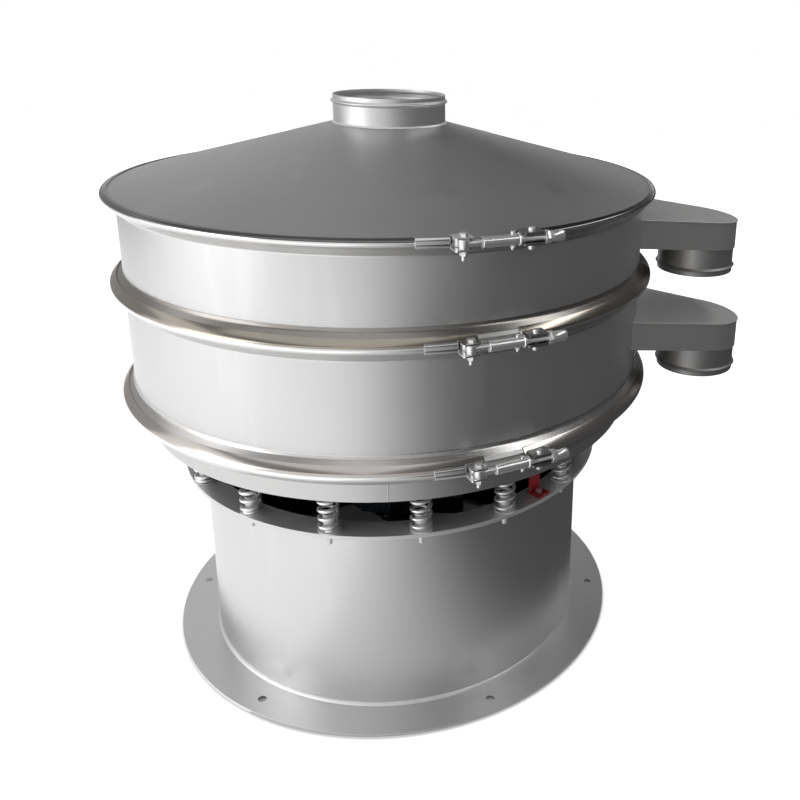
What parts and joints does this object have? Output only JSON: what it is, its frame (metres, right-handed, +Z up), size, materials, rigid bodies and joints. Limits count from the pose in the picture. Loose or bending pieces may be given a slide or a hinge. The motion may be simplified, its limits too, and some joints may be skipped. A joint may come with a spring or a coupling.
{
  "type": "vibrating sieve",
  "caption": "Round vibrating sieve: lidded drum of clamped steel frames with a screen and side discharge spouts, standing on coil springs over a cylindrical base, with a vertical motor.",
  "frame": {"origin": "on the floor at the machine's upright axis, centre of the anchor hole circle", "axes": "+Z up along the machine's axis, +X towards the upper discharge spout, the clamp closures on the -Y side"},
  "size_m": [1.42, 1.2093, 1.265],
  "materials": {
    "satin_steel": "bead-blasted satin",
    "spout_steel": "bead-blasted satin",
    "band_steel": "polished stainless steel",
    "zinc_steel": "bright zinc",
    "dark_steel": "dark cast stainless steel",
    "seal_rubber": "pale soft rubber",
    "red_paint": "red paint",
    "motor_paint": "grey-blue paint",
    "motor_core": "bare laminated steel",
    "mesh_wire": "woven wire",
    "gland_plastic": "black nylon"
  },
  "bodies": {
    "base": {"base_flange": "satin_steel", "base_shell": "satin_steel", "base_top_ring": "satin_steel", "spring_lower_seats": "zinc_steel", "spring_lower_nuts": "zinc_steel", "coil_springs": "zinc_steel", "lock_bracket": "red_paint", "lock_bolt": "zinc_steel", "lock_nut": "zinc_steel"},
    "sieve_body": {"body_skirt": "satin_steel", "body_plate": "satin_steel", "body_gussets": "satin_steel", "spring_upper_seats": "zinc_steel", "spring_upper_nuts": "zinc_steel", "lower_frame": "satin_steel", "lower_spout": "spout_steel", "lower_spout_roof": "spout_steel", "discharge_dome": "satin_steel", "screen_frame": "satin_steel", "screen_spokes": "satin_steel", "screen_mesh": "mesh_wire", "upper_frame": "satin_steel", "upper_spout": "spout_steel", "upper_spout_roof": "spout_steel", "joint_gaskets": "seal_rubber", "lid_cone": "satin_steel", "feed_inlet": "satin_steel", "lid_clamp_band": "band_steel", "screen_clamp_band": "band_steel", "body_clamp_band": "band_steel", "clamp_sleeves": "band_steel", "clamp_hinge_lugs": "dark_steel", "clamp_fork_lugs": "dark_steel", "clamp_hinge_pins": "zinc_steel", "clamp_pin_nuts": "zinc_steel", "clamp_fork_stubs": "zinc_steel", "motor_housing": "motor_paint", "motor_end_covers": "motor_paint", "motor_stator": "motor_core", "motor_bearings": "zinc_steel", "terminal_box": "motor_paint", "terminal_lid": "motor_paint", "cable_gland": "gland_plastic", "motor_bolts": "zinc_steel", "motor_nuts": "zinc_steel"},
    "rotor": {"motor_shaft": "zinc_steel", "rotor_core": "motor_core", "upper_weight": "motor_paint", "upper_weight_screw": "zinc_steel"},
    "lower_weight_unit": {"lower_weight": "motor_paint", "lower_weight_screw": "zinc_steel"},
    "lid_bolt_unit": {"lid_swing_bolt": "zinc_steel", "lid_bolt_spacer": "dark_steel"},
    "lid_nut_unit": {"lid_sleeve_nut": "zinc_steel"},
    "screen_bolt_unit": {"screen_swing_bolt": "zinc_steel", "screen_bolt_spacer": "dark_steel"},
    "screen_nut_unit": {"screen_sleeve_nut": "zinc_steel"},
    "body_bolt_unit": {"body_swing_bolt": "zinc_steel", "body_bolt_spacer": "dark_steel"},
    "body_nut_unit": {"body_sleeve_nut": "zinc_steel"}
  },
  "joints": [
    {"name": "body_bounce", "type": "slide", "parent": "base", "child": "sieve_body", "axis": [0, 0, 1], "range_m": [-0.006, 0.006], "stiffness_N_per_m": 800000, "springref_m": 0.00542, "deforming": ["coil_springs"]},
    {"name": "rotor_spin", "type": "hinge", "parent": "sieve_body", "child": "rotor", "pos_m": [0, 0, 0.46], "axis": [0, 0, 1], "continuous": true},
    {"name": "lower_weight_setting", "type": "hinge", "parent": "rotor", "child": "lower_weight_unit", "pos_m": [0, 0, 0.235], "axis": [0, 0, 1], "range_deg": [-180, 0]},
    {"name": "lid_bolt_swing", "type": "hinge", "parent": "sieve_body", "child": "lid_bolt_unit", "pos_m": [0.14803, -0.59716, 1.07586], "axis": [0, 0, -1], "range_deg": [0, 70]},
    {"name": "lid_nut_travel", "type": "slide", "parent": "lid_bolt_unit", "child": "lid_nut_unit", "axis": [0.9409, 0.3387, 0], "range_m": [0, 0.02]},
    {"name": "screen_bolt_swing", "type": "hinge", "parent": "sieve_body", "child": "screen_bolt_unit", "pos_m": [0.16154, -0.59365, 0.886], "axis": [0, 0, -1], "range_deg": [0, 70]},
    {"name": "screen_nut_travel", "type": "slide", "parent": "screen_bolt_unit", "child": "screen_nut_unit", "axis": [0.933, 0.36, 0], "range_m": [0, 0.02]},
    {"name": "body_bolt_swing", "type": "hinge", "parent": "sieve_body", "child": "body_bolt_unit", "pos_m": [0.17703, -0.58922, 0.641], "axis": [0, 0, -1], "range_deg": [0, 70]},
    {"name": "body_nut_travel", "type": "slide", "parent": "body_bolt_unit", "child": "body_nut_unit", "axis": [0.9232, 0.3843, 0], "range_m": [0, 0.02]}
  ]
}
